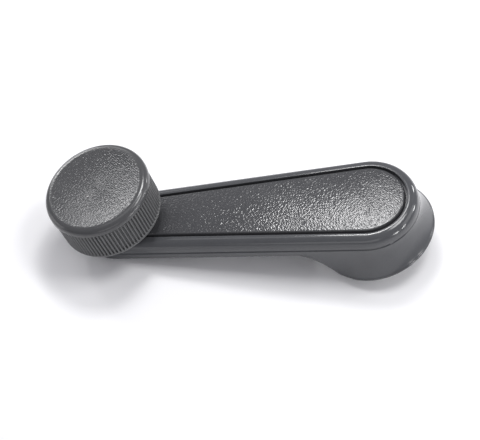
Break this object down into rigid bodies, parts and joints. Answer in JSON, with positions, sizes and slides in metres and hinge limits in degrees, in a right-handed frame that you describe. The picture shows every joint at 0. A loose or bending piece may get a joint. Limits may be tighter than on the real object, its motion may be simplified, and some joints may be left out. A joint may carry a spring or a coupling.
{
  "type": "window crank handle",
  "caption": "Moulded window crank with a rolled rim, grained inlay, flared hub skirt, splined socket, retaining clip and free-turning fluted knob.",
  "frame": {"origin": "on the spindle axis, in the plane of the hub skirt's foot", "axes": "+Z along the spindle axis away from the door, -X along the arm towards the knob"},
  "size_m": [0.1535, 0.051, 0.0609],
  "materials": {
    "body_plastic": "smooth satin-gloss grey moulding",
    "inlay_plastic": "fine leather-grained grey moulding with a smooth border",
    "barrel_plastic": "satin grey moulding with fine flutes",
    "cap_plastic": "pebble-grained grey moulding with a smooth lip",
    "bush_plastic": "natural acetal",
    "zinc_casting": "as-cast zinc alloy",
    "pin_steel": "zinc-plated steel",
    "spring_steel": "phosphated spring steel"
  },
  "bodies": {
    "arm": {"arm_body": "body_plastic", "inlay_panel": "inlay_plastic", "hub_insert": "zinc_casting", "knob_pin": "pin_steel", "thrust_washer": "pin_steel", "spring_washer": "spring_steel", "backing_washer": "pin_steel"},
    "knob": {"knob_barrel": "barrel_plastic", "knob_cap": "cap_plastic", "knob_bush": "bush_plastic"},
    "clip": {"spindle_clip": "spring_steel"}
  },
  "joints": [
    {"name": "knob_spin", "type": "hinge", "parent": "arm", "child": "knob", "pos_m": [-0.105, 0, 0.0412], "axis": [0, 0, 1], "continuous": true},
    {"name": "clip_slide", "type": "slide", "parent": "arm", "child": "clip", "axis": [1, 0, 0], "range_m": [0, 0.0065]}
  ]
}
